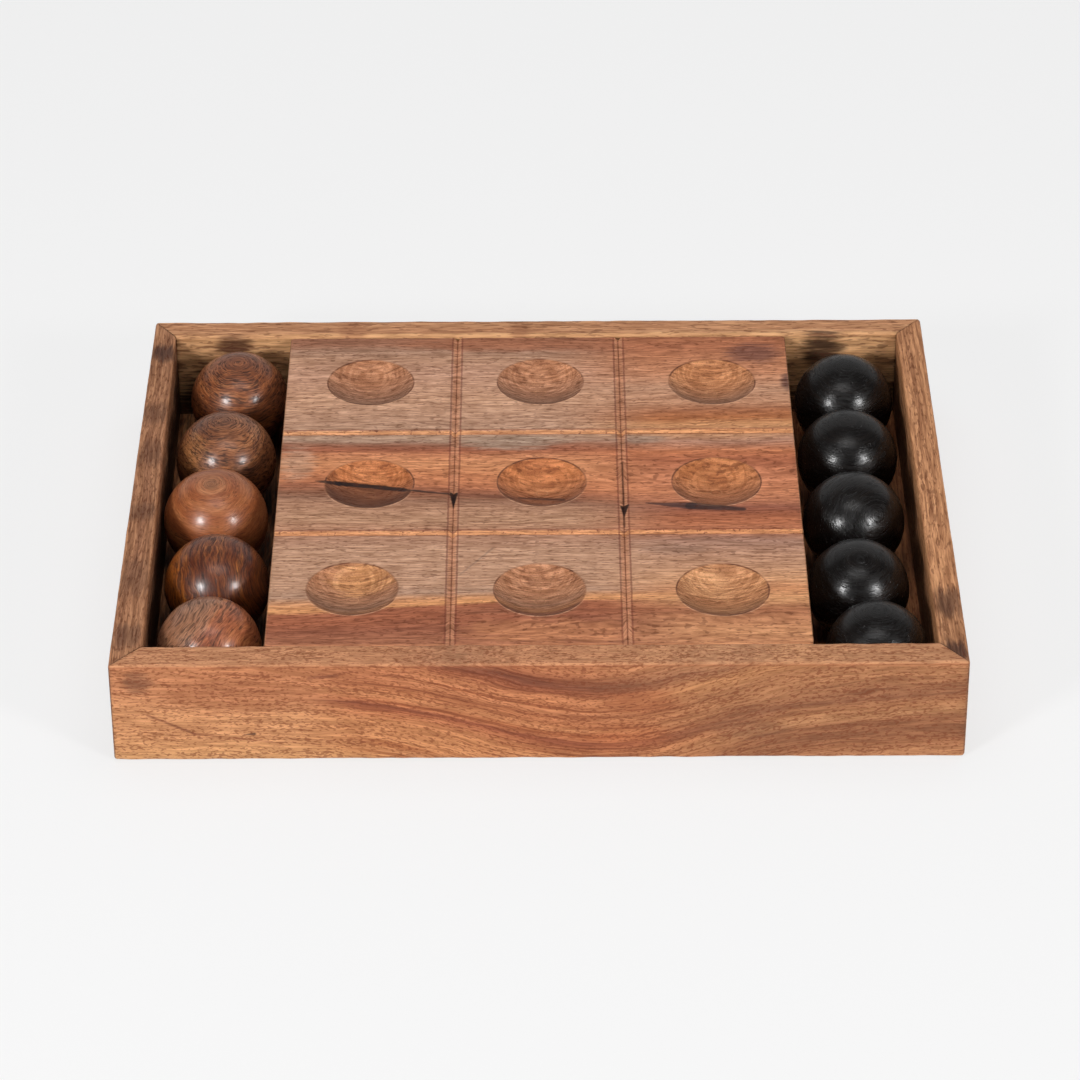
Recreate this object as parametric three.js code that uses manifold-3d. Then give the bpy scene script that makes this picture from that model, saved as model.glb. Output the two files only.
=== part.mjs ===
// Wooden noughts-and-crosses set: a mitred tray, a grooved and dished playing board in its
// middle, and a trough on each side with five turned wooden balls.
//
// Millimetres. +X runs along the tray, +Y to the back rail, +Z up.
// The origin is the middle of the tray's footprint, on the surface that it stands on.

import * as THREE from "three";
import { mergeVertices } from "three/addons/utils/BufferGeometryUtils.js";
import Module from "manifold-3d";

const wasm = await Module();
wasm.setup();

// ---- driving dimensions ----------------------------------------------------------------

const trayWidth = 300;
const trayDepth = 235;
const trayHeight = 40.5;

const sideRailThickness = 10;
const longRailThickness = 12;
const arrisEase = 0.8; // chamfer along the rails' long edges
const glueGap = 0.15; // half of the glue line in each mitre
const looseGap = 0.3; // clearance around a piece let into another

const baseThickness = 4;
const baseLift = 1; // the base panel sits this far above the table
const rebateWidth = 4; // ledge cut in each rail for the base panel

const boardWidth = 192.5;
const boardEndGap = 0.5; // between the board and the front and back rails
const boardThickness = 20;
const boardDrop = 0.3; // the board's face lies this far below the rails' tops
const boardCornerRadius = 1.5;

const cellsPerSide = 3;
const wellPitchX = 65.5;
const wellPitchY = 71;
const wellRimRadius = 16.5;
const wellDepth = 5.2;
// The wells were marked out by hand. How far each sits off the even grid, as [x, y], in
// rows from the front to the back.
const wellDrift = [
  [[-1, 1.6], [0.4, 0.5], [0.1, 0]],
  [[3, -0.1], [1.3, 0.7], [0.4, 0.4]],
  [[1.4, 0.8], [0.9, 0.9], [1.1, 0.3]],
];

const groovePitchX = 62.4;
const groovePitchY = 68.8;
const grooveShiftY = 1; // the cross grooves are sawn a little nearer the back
const grooveHalfWidth = 1.8;
const grooveDepth = 1.8;

const battenWidth = 16;
const battenEndGap = 1;

const screwsPerBatten = 2;
const screwSpacingY = 150;
const screwLength = 28;
const screwShankRadius = 1.8;
const screwHeadRadius = 3.6;
const screwHeadHeight = 2.2;
const screwTipLength = 4;
const driveArm = 1.9; // half length of the cross-shaped drive recess
const driveWidth = 0.8;
const driveDepth = 1.2;

const splineThickness = 2.4;
const splineReach = 3.6; // how far the spline goes into each rail
const splineBottom = 10;
const splineHeight = 24;
const splineFromInside = 0.42; // its place along the mitre, from the inner corner

const ballRadius = 19;
const ballsPerTrough = 5;
const ballPitch = 42;
const ballRestGap = 0.2;

// How far each ball lies off an even row down the middle of its trough, as [x, y], and how
// much its turned radius differs from the usual one; back ball first.
const brownBallDrift = [
  [2.4, 1.1, 0],
  [-0.3, -0.9, 0],
  [-1.7, -0.9, 0.5],
  [1.3, -2.2, 0.2],
  [0.8, 0.6, -0.2],
];
const blackBallDrift = [
  [0, -2.9, 0],
  [-0.9, -1.5, 0],
  [-1.3, -3.6, 0],
  [-2.4, -5.6, -0.3],
  [2, -2.7, -0.5],
];

// ---- sizes that follow -----------------------------------------------------------------

const halfWidth = trayWidth / 2;
const halfDepth = trayDepth / 2;
const innerHalfWidth = halfWidth - sideRailThickness;
const innerHalfDepth = halfDepth - longRailThickness;
const floorTop = baseLift + baseThickness;
const rebateTop = floorTop + ballRestGap;

const boardTop = trayHeight - boardDrop;
const boardBottom = boardTop - boardThickness;
const boardDepth = 2 * (innerHalfDepth - boardEndGap);
const battenX = boardWidth / 2 - battenWidth / 2 - looseGap;

const troughX = (boardWidth / 2 + innerHalfWidth) / 2;
const ballUnderside = floorTop + ballRestGap;

// ---- materials -------------------------------------------------------------------------

function wood(color, roughness) {
  return new THREE.MeshStandardMaterial({ color, roughness, metalness: 0 });
}

const railWood = () => wood(0xa9714b, 0.6);
const boardWood = () => wood(0xb07d5c, 0.62);
const plainWood = () => wood(0x8a6242, 0.75);
const brownBallWood = () => wood(0x7a4c2e, 0.35);
const blackBallWood = () => wood(0x1b1a1b, 0.3);
const screwSteel = () =>
  new THREE.MeshStandardMaterial({ color: 0xa8a6a0, roughness: 0.4, metalness: 1 });

// ---- solids and booleans ---------------------------------------------------------------

function toSolid(geometry) {
  const bare = geometry.index ? geometry.toNonIndexed() : geometry.clone();
  bare.deleteAttribute("normal");
  bare.deleteAttribute("uv");
  const merged = mergeVertices(bare, 1e-4);
  const mesh = new wasm.Mesh({
    numProp: 3,
    vertProperties: new Float32Array(merged.attributes.position.array),
    triVerts: new Uint32Array(merged.index.array),
  });
  mesh.merge();
  return new wasm.Manifold(mesh);
}

function toGeometry(solid) {
  const mesh = solid.getMesh();
  const geometry = new THREE.BufferGeometry();
  geometry.setAttribute("position", new THREE.BufferAttribute(mesh.vertProperties, 3));
  geometry.setIndex(new THREE.BufferAttribute(mesh.triVerts, 1));
  geometry.computeVertexNormals();
  return geometry;
}

function cut(geometry, cutters) {
  let solid = toSolid(geometry);
  for (const cutter of cutters) {
    solid = solid.subtract(toSolid(cutter));
  }
  return toGeometry(solid);
}

function block(width, depth, height, x, y, bottom) {
  const geometry = new THREE.BoxGeometry(width, depth, height);
  geometry.translate(x, y, bottom + height / 2);
  return geometry;
}

function prism(points, bottom, top) {
  const shape = new THREE.Shape(points.map(([x, y]) => new THREE.Vector2(x, y)));
  const geometry = new THREE.ExtrudeGeometry(shape, {
    depth: top - bottom,
    bevelEnabled: false,
  });
  geometry.translate(0, 0, bottom);
  return geometry;
}

// A turned shape: its profile is a list of [radius, height] pairs, turned about +Z.
function turned(profile, segments, x, y, z) {
  const points = profile.map(([radius, height]) => new THREE.Vector2(radius, height));
  const geometry = new THREE.LatheGeometry(points, segments);
  geometry.rotateX(Math.PI / 2);
  geometry.translate(x, y, z);
  return geometry;
}

const assembly = new THREE.Group();

function add(name, geometry, material, position = [0, 0, 0]) {
  const mesh = new THREE.Mesh(geometry, material);
  mesh.name = name;
  mesh.position.set(...position);
  assembly.add(mesh);
}

// ---- mitre splines and their slots -----------------------------------------------------

const corners = [
  { name: "front_left", sx: -1, sy: -1 },
  { name: "front_right", sx: 1, sy: -1 },
  { name: "back_left", sx: -1, sy: 1 },
  { name: "back_right", sx: 1, sy: 1 },
];

// A strip that stands across the mitre, grown by a clearance for its slot.
function splineStrip({ sx, sy }, clearance) {
  const alongX = sx * sideRailThickness;
  const alongY = sy * longRailThickness;
  const geometry = new THREE.BoxGeometry(
    splineThickness + 2 * clearance,
    2 * (splineReach + clearance),
    splineHeight + 2 * clearance,
  );
  geometry.rotateZ(Math.atan2(alongY, alongX));
  geometry.translate(
    sx * innerHalfWidth + splineFromInside * alongX,
    sy * innerHalfDepth + splineFromInside * alongY,
    splineBottom + splineHeight / 2,
  );
  return geometry;
}

for (const corner of corners) {
  add("mitre_spline_" + corner.name, splineStrip(corner, 0), plainWood());
}

// ---- rails -----------------------------------------------------------------------------

// The rail's section, from its outer face (0) to its inner face, with the arrises eased
// and the ledge for the base panel cut out of the inner bottom edge.
function railSection(thickness) {
  const ledge = thickness - rebateWidth;
  const outline = [
    [arrisEase, 0],
    [ledge, 0],
    [ledge, rebateTop],
    [thickness, rebateTop],
    [thickness, trayHeight - arrisEase],
    [thickness - arrisEase, trayHeight],
    [arrisEase, trayHeight],
    [0, trayHeight - arrisEase],
    [0, arrisEase],
  ];
  return new THREE.Shape(outline.map(([x, y]) => new THREE.Vector2(x, y)));
}

// A straight rail whose inner face looks along +X, with its outer face at x = 0.
function railBar(thickness, length) {
  const geometry = new THREE.ExtrudeGeometry(railSection(thickness), {
    depth: length,
    bevelEnabled: false,
  });
  geometry.translate(0, 0, -length / 2);
  geometry.rotateX(Math.PI / 2);
  return geometry;
}

// The rail's plan between its two mitres, for the rail along y = -halfDepth or x = -halfWidth.
function mitredPlan(halfLength, innerHalfLength, outer, inner) {
  return [
    [-halfLength + glueGap, outer],
    [halfLength - glueGap, outer],
    [innerHalfLength - glueGap, inner],
    [-innerHalfLength + glueGap, inner],
  ];
}

function rail(bar, plan) {
  const below = -1;
  const above = trayHeight + 1;
  let solid = toSolid(bar).intersect(toSolid(prism(plan, below, above)));
  for (const corner of corners) {
    solid = solid.subtract(toSolid(splineStrip(corner, looseGap)));
  }
  return toGeometry(solid);
}

function longRail(side) {
  const bar = railBar(longRailThickness, trayWidth + 2);
  bar.rotateZ(Math.PI / 2);
  bar.translate(0, -halfDepth, 0);
  const plan = mitredPlan(halfWidth, innerHalfWidth, -halfDepth, -innerHalfDepth);
  if (side > 0) {
    bar.rotateZ(Math.PI);
    return rail(bar, plan.map(([x, y]) => [-x, -y]));
  }
  return rail(bar, plan);
}

function sideRail(side) {
  const bar = railBar(sideRailThickness, trayDepth + 2);
  bar.translate(-halfWidth, 0, 0);
  const plan = mitredPlan(halfDepth, innerHalfDepth, -halfWidth, -innerHalfWidth);
  const turnedPlan = plan.map(([along, across]) => [across, -along]);
  if (side > 0) {
    bar.rotateZ(Math.PI);
    return rail(bar, turnedPlan.map(([x, y]) => [-x, -y]));
  }
  return rail(bar, turnedPlan);
}

add("front_rail", longRail(-1), railWood());
add("back_rail", longRail(1), railWood());
add("left_rail", sideRail(-1), railWood());
add("right_rail", sideRail(1), railWood());

// ---- screws ----------------------------------------------------------------------------

const battens = [
  { name: "left_batten", x: -battenX },
  { name: "centre_batten", x: 0 },
  { name: "right_batten", x: battenX },
];

const screwPlaces = [];
for (const batten of battens) {
  for (let i = 0; i < screwsPerBatten; i += 1) {
    screwPlaces.push([batten.x, (i - (screwsPerBatten - 1) / 2) * screwSpacingY]);
  }
}

// A countersunk wood screw standing on its head, grown by a clearance for its hole.
function screwShape([x, y], clearance) {
  const head = screwHeadRadius + clearance;
  const shank = screwShankRadius + clearance;
  const foot = clearance > 0 ? -1 : 0;
  const profile = [
    [0, foot],
    [head, foot],
    [head, 0.3],
    [shank, screwHeadHeight + 0.3],
    [shank, screwLength - screwTipLength],
    [0, screwLength + clearance],
  ];
  return turned(profile, 16, x, y, baseLift);
}

function screw(place) {
  const [x, y] = place;
  const bottom = baseLift - 1;
  const height = 1 + driveDepth;
  const slots = [
    block(2 * driveArm, driveWidth, height, x, y, bottom),
    block(driveWidth, 2 * driveArm, height, x, y, bottom),
  ];
  return cut(screwShape(place, 0), slots);
}

screwPlaces.forEach((place, i) => {
  add("board_screw_" + (i + 1), screw(place), screwSteel());
});

const screwHoles = () => screwPlaces.map((place) => screwShape(place, looseGap));

// ---- base panel and battens ------------------------------------------------------------

const basePanel = block(
  2 * (innerHalfWidth + rebateWidth - looseGap),
  2 * (innerHalfDepth + rebateWidth - looseGap),
  baseThickness,
  0,
  0,
  baseLift,
);
add("base_panel", cut(basePanel, screwHoles()), plainWood());

const battenLength = boardDepth - 2 * battenEndGap;
for (const { name, x } of battens) {
  const bar = block(battenWidth, battenLength, boardBottom - floorTop, x, 0, floorTop);
  add(name, cut(bar, screwHoles()), plainWood());
}

// ---- playing board ---------------------------------------------------------------------

function boardOutline() {
  const x = boardWidth / 2;
  const y = boardDepth / 2;
  const r = boardCornerRadius;
  const shape = new THREE.Shape();
  shape.moveTo(-x + r, -y);
  shape.lineTo(x - r, -y);
  shape.absarc(x - r, -y + r, r, -Math.PI / 2, 0, false);
  shape.lineTo(x, y - r);
  shape.absarc(x - r, y - r, r, 0, Math.PI / 2, false);
  shape.lineTo(-x + r, y);
  shape.absarc(-x + r, y - r, r, Math.PI / 2, Math.PI, false);
  shape.lineTo(-x, -y + r);
  shape.absarc(-x + r, -y + r, r, Math.PI, Math.PI * 1.5, false);
  return shape;
}

// A dish is the bottom cap of a sphere that meets the board's face at the rim.
const wellSphereRadius = (wellRimRadius ** 2 + wellDepth ** 2) / (2 * wellDepth);

function wellCutter(x, y) {
  const rings = 5;
  const rimAngle = Math.asin(wellRimRadius / wellSphereRadius);
  const profile = [];
  for (let i = 0; i <= rings; i += 1) {
    const angle = (rimAngle * i) / rings;
    const radius = wellSphereRadius * Math.sin(angle);
    const height = wellSphereRadius * (1 - Math.cos(angle)) - wellDepth;
    profile.push([radius, height]);
  }
  profile.push([wellRimRadius, 1]);
  profile.push([0, 1]);
  return turned(profile, 28, x, y, boardTop);
}

// A V-shaped groove along X, as long as the board and a little more, with its top open.
function grooveCutter(length) {
  const rise = 0.5;
  const slope = grooveHalfWidth / grooveDepth;
  const shape = new THREE.Shape([
    new THREE.Vector2(0, -grooveDepth),
    new THREE.Vector2(grooveHalfWidth + rise * slope, rise),
    new THREE.Vector2(-grooveHalfWidth - rise * slope, rise),
  ]);
  const geometry = new THREE.ExtrudeGeometry(shape, { depth: length, bevelEnabled: false });
  geometry.translate(0, 0, -length / 2);
  geometry.rotateX(Math.PI / 2);
  geometry.translate(0, 0, boardTop);
  return geometry;
}

const boardCutters = [];
for (let row = 0; row < cellsPerSide; row += 1) {
  for (let column = 0; column < cellsPerSide; column += 1) {
    const middle = (cellsPerSide - 1) / 2;
    const [driftX, driftY] = wellDrift[row][column];
    const wellX = (column - middle) * wellPitchX + driftX;
    const wellY = (row - middle) * wellPitchY + driftY;
    boardCutters.push(wellCutter(wellX, wellY));
  }
}
for (const side of [-1, 1]) {
  const lengthwise = grooveCutter(boardDepth + 4);
  lengthwise.translate((side * groovePitchX) / 2, 0, 0);
  boardCutters.push(lengthwise);

  const crosswise = grooveCutter(boardWidth + 4);
  crosswise.rotateZ(Math.PI / 2);
  crosswise.translate(0, (side * groovePitchY) / 2 + grooveShiftY, 0);
  boardCutters.push(crosswise);
}

const boardBlank = new THREE.ExtrudeGeometry(boardOutline(), {
  depth: boardThickness,
  bevelEnabled: false,
  curveSegments: 3,
});
boardBlank.translate(0, 0, boardBottom);
add("playing_board", cut(boardBlank, [...boardCutters, ...screwHoles()]), boardWood());

// ---- balls -----------------------------------------------------------------------------

function ballGeometry(radius) {
  const geometry = new THREE.SphereGeometry(radius, 20, 12);
  geometry.rotateX(Math.PI / 2);
  return geometry;
}

function addBalls(name, middleX, drift, material) {
  drift.forEach(([driftX, driftY, driftRadius], i) => {
    const radius = ballRadius + driftRadius;
    const evenY = ((ballsPerTrough - 1) / 2 - i) * ballPitch;
    const place = [middleX + driftX, evenY + driftY, ballUnderside + radius];
    add(name + "_" + (i + 1), ballGeometry(radius), material(), place);
  });
}

addBalls("brown_ball", -troughX, brownBallDrift, brownBallWood);
addBalls("black_ball", troughX, blackBallDrift, blackBallWood);

export default assembly;
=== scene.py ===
"""Looks of a wooden noughts-and-crosses set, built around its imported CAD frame.

Metres, +Z up, in the frame's own axes: +X runs along the tray, +Y to its back rail.
"""

import math

import bmesh
import bpy
from mathutils import Euler, Matrix, Vector, noise


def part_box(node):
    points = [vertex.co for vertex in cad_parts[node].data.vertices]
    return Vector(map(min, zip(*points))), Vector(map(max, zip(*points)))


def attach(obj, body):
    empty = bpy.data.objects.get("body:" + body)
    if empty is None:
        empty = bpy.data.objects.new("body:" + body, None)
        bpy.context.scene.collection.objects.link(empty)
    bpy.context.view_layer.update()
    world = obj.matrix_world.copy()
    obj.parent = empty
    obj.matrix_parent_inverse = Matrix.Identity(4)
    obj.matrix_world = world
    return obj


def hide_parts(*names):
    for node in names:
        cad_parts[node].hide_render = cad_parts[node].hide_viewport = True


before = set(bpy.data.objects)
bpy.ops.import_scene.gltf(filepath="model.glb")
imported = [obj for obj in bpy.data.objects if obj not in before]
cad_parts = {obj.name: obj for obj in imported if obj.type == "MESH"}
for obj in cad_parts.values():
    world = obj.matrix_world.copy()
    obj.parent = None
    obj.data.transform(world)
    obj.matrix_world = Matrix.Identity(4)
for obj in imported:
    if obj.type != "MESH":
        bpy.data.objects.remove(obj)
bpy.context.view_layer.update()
scene = bpy.context.scene

MM = 0.001


def new_object(name, data):
    """A new object in the scene, for a mesh, a light or a camera."""
    made = bpy.data.objects.new(name, data)
    scene.collection.objects.link(made)
    return made


# ---- sizes, from the frame's boxes and the design --------------------------------------

tray_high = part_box("back_rail")[1]
board_low, board_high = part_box("playing_board")
floor_low, floor_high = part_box("base_panel")

tray_half_x = tray_high.x
tray_half_y = tray_high.y
tray_top = tray_high.z
board_top = board_high.z
floor_top = floor_high.z

rebate_width = 4 * MM
rebate_top = floor_top + 0.2 * MM
mitre_gap = 0.06 * MM  # half of the glue line
corner_radius = 1.3 * MM  # the tray's upright corners, sanded round
arris_radius = 0.9 * MM

well_pitch_x = 65.5 * MM
well_pitch_y = 71 * MM
# How far each well sits off the even grid, in millimetres, in rows from front to back.
well_drift = (
    ((-1, 1.6), (0.4, 0.5), (0.1, 0)),
    ((3, -0.1), (1.3, 0.7), (0.4, 0.4)),
    ((1.4, 0.8), (0.9, 0.9), (1.1, 0.3)),
)
well_radius = 16.5 * MM
well_depth = 5.2 * MM
groove_x = 31.2 * MM
groove_y = (-33.4 * MM, 35.4 * MM)
groove_half = 1.8 * MM
groove_depth = 1.8 * MM

joint_sink = 0.10 * MM  # how far a rail's faces draw in at the glue line
planing_height = 0.07 * MM  # of the unevenness on a planed face
worn_height = 0.16 * MM  # and along a worn edge

# Each rail was planed by hand, so its inner face isn't quite parallel to its outer one.
rail_thickness_front = 12.4 * MM
rail_thickness_back = 11.5 * MM
rail_thickness_right = 10 * MM
rail_thickness_left_front = 11.1 * MM
rail_thickness_left_back = 8.7 * MM


# ---- camera ----------------------------------------------------------------------------

aim = Vector((0.0005, 0, 0.0147))
camera_distance = 1.6236
camera_elevation = math.radians(33.41)
camera_azimuth = math.radians(0.047)
camera_roll = math.radians(-0.302)

back = Vector((
    math.sin(camera_azimuth) * math.cos(camera_elevation),
    -math.cos(camera_azimuth) * math.cos(camera_elevation),
    math.sin(camera_elevation),
))
camera_data = bpy.data.cameras.new("camera")
camera_data.lens = 145.1
camera_data.sensor_width = 36
camera_data.clip_start = 0.05
camera = new_object("camera", camera_data)
level = (-back).to_track_quat("-Z", "Y").to_matrix()
camera.matrix_world = Matrix.LocRotScale(
    aim + back * camera_distance,
    level @ Matrix.Rotation(camera_roll, 3, "Z"),
    None,
)
scene.camera = camera


# ---- light, world and floor ------------------------------------------------------------

def area_light(name, direction, distance, size, power, shape="RECTANGLE", mirrored=True):
    """A soft light that stands off from the tray in a direction and faces it."""
    light = bpy.data.lights.new(name, "AREA")
    light.shape = shape
    light.size, light.size_y = size
    light.energy = power
    lamp = new_object(name, light)
    away = Vector(direction).normalized()
    lamp.location = away * distance
    lamp.rotation_euler = away.to_track_quat("Z", "Y").to_euler()
    lamp.visible_camera = False
    lamp.visible_glossy = mirrored


area_light("key_left", (-0.57, -0.70, 0.46), 1.5, (0.26, 0.26), 12)
area_light("key_right", (0.64, -0.64, 0.46), 1.5, (0.26, 0.26), 9.5)
area_light("overhead", (0.0, -0.33, 0.95), 1.3, (0.95, 0.42), 2.1, "ELLIPSE")
area_light("back_panel", (0, 0.9, 0.42), 1.0, (3.4, 1.5), 4.2, "ELLIPSE")
area_light("ceiling", (0.0, 0.1, 1.0), 1.8, (2.2, 1.6), 16, mirrored=False)

world = bpy.data.worlds.new("studio")
scene.world = world
world.use_nodes = True
world.node_tree.nodes["Background"].inputs["Color"].default_value = (0.94, 0.97, 1, 1)
world.node_tree.nodes["Background"].inputs["Strength"].default_value = 0.08

scene.view_settings.view_transform = "Standard"


def srgb(code):
    """A linear colour from a web colour such as "#b0805a"."""
    parts = [int(code[i:i + 2], 16) / 255 for i in (1, 3, 5)]
    linear = [c / 12.92 if c <= 0.04045 else ((c + 0.055) / 1.055) ** 2.4 for c in parts]
    return (*linear, 1)


# ---- node helpers ----------------------------------------------------------------------

class Shader:
    """Builds one material's nodes. Every argument is a number, a colour or a socket."""

    def __init__(self, name):
        self.material = bpy.data.materials.new(name)
        self.material.use_nodes = True
        self.tree = self.material.node_tree
        self.tree.nodes.clear()

    def node(self, kind, inputs=None, **settings):
        made = self.tree.nodes.new(kind)
        for key, value in settings.items():
            setattr(made, key, value)
        for key, value in (inputs or {}).items():
            self.feed(made.inputs[key], value)
        return made

    def feed(self, socket, value):
        if isinstance(value, bpy.types.NodeSocket):
            self.tree.links.new(value, socket)
        else:
            socket.default_value = value

    def math(self, operation, a, b=0.0, c=0.0, clamp=False):
        made = self.node("ShaderNodeMath", operation=operation, use_clamp=clamp)
        for socket, value in zip(made.inputs, (a, b, c)):
            self.feed(socket, value)
        return made.outputs[0]

    def add(self, a, b):
        return self.math("ADD", a, b)

    def sub(self, a, b):
        return self.math("SUBTRACT", a, b)

    def mul(self, a, b):
        return self.math("MULTIPLY", a, b)

    def absolute(self, value):
        return self.math("ABSOLUTE", value)

    def square_sum(self, *parts):
        total = self.mul(parts[0], parts[0])
        for part in parts[1:]:
            total = self.add(total, self.mul(part, part))
        return total

    def bell(self, *parts):
        """1 where every part is 0, fading to 0 as any of them grows past 1."""
        return self.math("EXPONENT", self.mul(self.square_sum(*parts), -1.0))

    def vector(self, x, y, z):
        return self.node("ShaderNodeCombineXYZ", {0: x, 1: y, 2: z}).outputs[0]

    def split(self, vector):
        return self.node("ShaderNodeSeparateXYZ", {0: vector}).outputs

    def fade(self, value, low, high, out_low=0.0, out_high=1.0):
        """Goes smoothly from out_low to out_high while value goes from low to high."""
        made = self.node("ShaderNodeMapRange", interpolation_type="SMOOTHSTEP")
        for socket, number in zip(made.inputs, (value, low, high, out_low, out_high)):
            self.feed(socket, number)
        return made.outputs[0]

    def noise(self, vector, scale=1.0, detail=2.0, roughness=0.5):
        made = self.node("ShaderNodeTexNoise", {
            "Vector": vector,
            "Scale": scale,
            "Detail": detail,
            "Roughness": roughness,
        })
        return made.outputs[0]

    def ramp(self, value, stops, low=0.0, high=1.0):
        """A colour from a list of (value, web colour), with values between low and high."""
        place = self.node("ShaderNodeMapRange", {0: value, 1: low, 2: high}).outputs[0]
        made = self.node("ShaderNodeValToRGB", {0: place})
        elements = made.color_ramp.elements
        ordered = sorted(((v - low) / (high - low), c) for v, c in stops)
        while len(elements) < len(ordered):
            elements.new(1.0)
        for element, (position, code) in zip(elements, ordered):
            element.position = position
            element.color = srgb(code)
        return made.outputs[0]

    def blend(self, factor, a, b, kind="MIX"):
        made = self.node("ShaderNodeMix", data_type="RGBA", blend_type=kind)
        self.feed(made.inputs[0], factor)
        self.feed(made.inputs[6], a)
        self.feed(made.inputs[7], b)
        return made.outputs[2]

    def stain_and_painted_light(self, color, mask, strength, code):
        """The colour, turned towards a web colour by a strength where the mask is 1; used for
        stains and for painted light and shade alike.
        """
        return self.blend(self.mul(mask, strength), color, srgb(code))

    def scale(self, factor, color):
        """The colour times a number."""
        made = self.node("ShaderNodeVectorMath", {0: color}, operation="SCALE")
        self.feed(made.inputs["Scale"], factor)
        return made.outputs[0]

    def mask(self, name):
        """A mask that the mesh carries, 0 to 1."""
        return self.node("ShaderNodeAttribute", attribute_name=name).outputs["Fac"]

    def bump(self, height, distance):
        made = self.node("ShaderNodeBump", {
            "Strength": 1.0,
            "Distance": distance,
            "Height": height,
        })
        return made.outputs[0]

    def finish(self, color, roughness, normal, **constants):
        surface = self.node("ShaderNodeBsdfPrincipled", {
            "Base Color": color,
            "Roughness": roughness,
            "Normal": normal,
        })
        for key, value in constants.items():
            surface.inputs[key.replace("_", " ")].default_value = value
        out = self.node("ShaderNodeOutputMaterial")
        self.tree.links.new(surface.outputs[0], out.inputs[0])
        return self.material


# ---- wood ------------------------------------------------------------------------------

# How far one step of a wood's seed moves it through the noise, along and across the grain.
grain_shift = 137.0
level_shift = 31.0


class Wood(Shader):
    """Solid wood with its grain along the u axis, seen wherever a surface cuts it.

    u, v and w are millimetres along and across the grain. Every line of the figure runs
    at one level of self.level, which swellings bend: each is (u, v) of its middle, its two
    radii and its height.
    """

    def __init__(self, name, grain=(0, 0, 0), seed=0.0, swellings=(), sway=(2.5, 0.5)):
        super().__init__(name)
        place = self.node("ShaderNodeTexCoord").outputs["Object"]
        self.place = self.split(self.scale(1 / MM, place))
        turned = self.node("ShaderNodeVectorRotate", {
            "Vector": self.vector(*self.place),
            "Rotation": grain,
        }, rotation_type="EULER_XYZ", invert=True).outputs[0]
        u, v, w = self.turned = self.split(turned)
        self.u = self.add(u, grain_shift * seed)
        self.w = w

        level = v
        for centre_u, centre_v, radius_u, radius_v, height in swellings:
            along = self.math("DIVIDE", self.sub(u, centre_u), radius_u)
            over = self.math("DIVIDE", self.sub(v, centre_v), radius_v)
            level = self.add(level, self.mul(self.bell(along, over), height))
        for length, width, amount in ((75, 22, sway[0]), (16, 5, sway[1])):
            waves = self.lumps(length, width, v, detail=1.0)
            level = self.add(level, self.mul(self.sub(waves, 0.5), 2 * amount))
        self.level = self.add(level, level_shift * seed)

    def lumps(self, length, width, level, detail, roughness=0.5):
        """Noise in lumps of a length along the grain and a width across it."""
        return self.noise(self.vector(
            self.mul(self.u, 1 / length),
            self.mul(level, 1 / width),
            self.mul(self.w, 1 / width),
        ), detail=detail, roughness=roughness)

    def grit(self, scale, detail=2.0):
        """Noise that is the same in every direction."""
        return self.noise(self.vector(*self.place), scale, detail)

    def layers(self, width, length, detail=3.0, level=None):
        """Growth layers: a value that changes across the figure and slowly along it."""
        level = self.level if level is None else level
        return self.lumps(length, width, level, detail, 0.6)

    def pores(self, length, width, fill, level=None):
        """Open vessels, as dark flecks along the grain and dots across it, 0 to 1."""
        crowd = self.mul(self.sub(self.layers(3, 30, 1.0, level), 0.5), 0.35)
        field = self.add(self.layers(width, length, 1.0, level), crowd)
        low = 0.70 - 0.3 * fill
        return self.fade(field, low, low + 0.08)

    def chevrons(self, strength, period=3.2, height=0.45):
        """The figure's level, bent into the short zigzags of interlocked grain."""
        drift = self.layers(9, 30, 1.0)
        along = self.add(self.mul(self.u, 1 / period), self.mul(drift, 5.0))
        zigzag = self.mul(self.math("PINGPONG", along, 1.0), height)
        return self.add(self.level, self.mul(zigzag, strength))

    def shade(self, color, value, dark, light, low=0.38, high=0.62):
        """Multiplies a colour by dark where value is low and by light where it is high."""
        tint = self.blend(self.fade(value, low, high), (*dark, 1), (light, light, light, 1))
        return self.blend(1.0, color, tint, "MULTIPLY")


streak_dark = (0.66, 0.57, 0.50)
fibre_dark = (0.78, 0.71, 0.65)


def wood_surface(wood, color, roughness, streak=(1.6, 34), fibre=(0.7, 11),
                 pore=(4.0, 0.8, 0.4), gloss=0.0, contrast=1.0, bent=None, banding=1.0,
                 shine=0.3, pore_code="#54291a", pore_share=0.5, relief=0.05):
    """Puts streaks, fibres, pores, worn edges and grime over a wood's colour."""
    streaks = wood.layers(*streak)
    fibres = wood.layers(*fibre)
    pores = wood.pores(*pore, level=bent)

    def eased(dark, share):
        return tuple(1 - (1 - channel) * share for channel in dark)

    color = wood.shade(color, streaks, eased(streak_dark, banding), 1 + 0.2 * banding)
    color = wood.shade(color, fibres, eased(fibre_dark, contrast), 1 + 0.17 * contrast)
    color = wood.stain_and_painted_light(color, pores, pore_share, pore_code)
    color = wood.stain_and_painted_light(color, wood.mask("grime"), 0.75, "#2a170f")
    worn = wood.mul(wood.mask("wear"), wood.fade(fibres, 0.35, 0.6, 0.05, 0.35))
    color = wood.blend(worn, color, srgb("#c98c60"))
    rough = wood.math("MULTIPLY_ADD", pores, 0.25,
                      wood.fade(fibres, 0.3, 0.7, roughness + 0.07, roughness - 0.05), clamp=True)
    normal = wood.bump(wood.sub(wood.mul(fibres, 0.6), pores), relief * MM)
    return wood.finish(color, rough, normal, Coat_Weight=gloss, Coat_Roughness=0.21,
                       Specular_IOR_Level=shine)


def ring_line(wood, value, middle, half):
    """A thin line where value passes middle, 0 to 1."""
    off = wood.absolute(wood.sub(value, middle))
    return wood.fade(off, half * 0.4, half * 1.4, 1.0, 0.0)


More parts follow.
